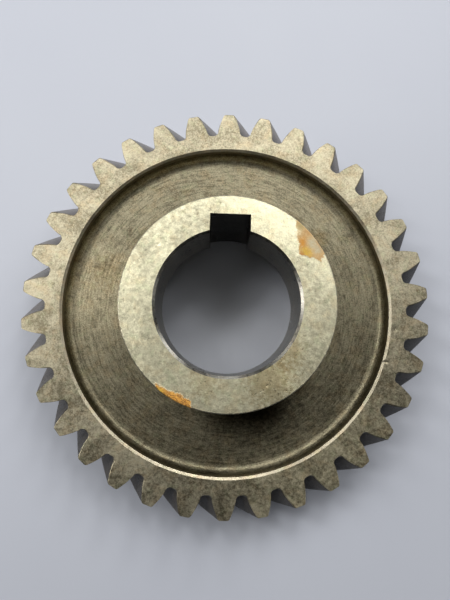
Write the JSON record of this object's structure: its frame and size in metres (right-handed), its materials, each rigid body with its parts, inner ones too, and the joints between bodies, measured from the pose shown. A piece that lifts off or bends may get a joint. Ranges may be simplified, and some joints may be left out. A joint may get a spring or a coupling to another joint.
{
  "type": "helical gear",
  "caption": "Helical gear wheel in machined steel: toothed rim, recessed web with fillets, and a raised hub with a keyed bore stepped out to a wider bore below.",
  "frame": {"origin": "centre of the gear's lower face, on the bore axis", "axes": "+Z along the bore axis towards the hub's ground face, +Y towards the keyway"},
  "size_m": [0.0876, 0.0876, 0.0259],
  "materials": {
    "hub_steel": "ground face, light rust spots",
    "web_steel": "turned, dull and darkened",
    "rim_steel": "turned faces, cut teeth, light oil film"
  },
  "bodies": {
    "root": {"hub": "hub_steel", "web": "web_steel", "toothed_rim": "rim_steel"}
  },
  "joints": []
}
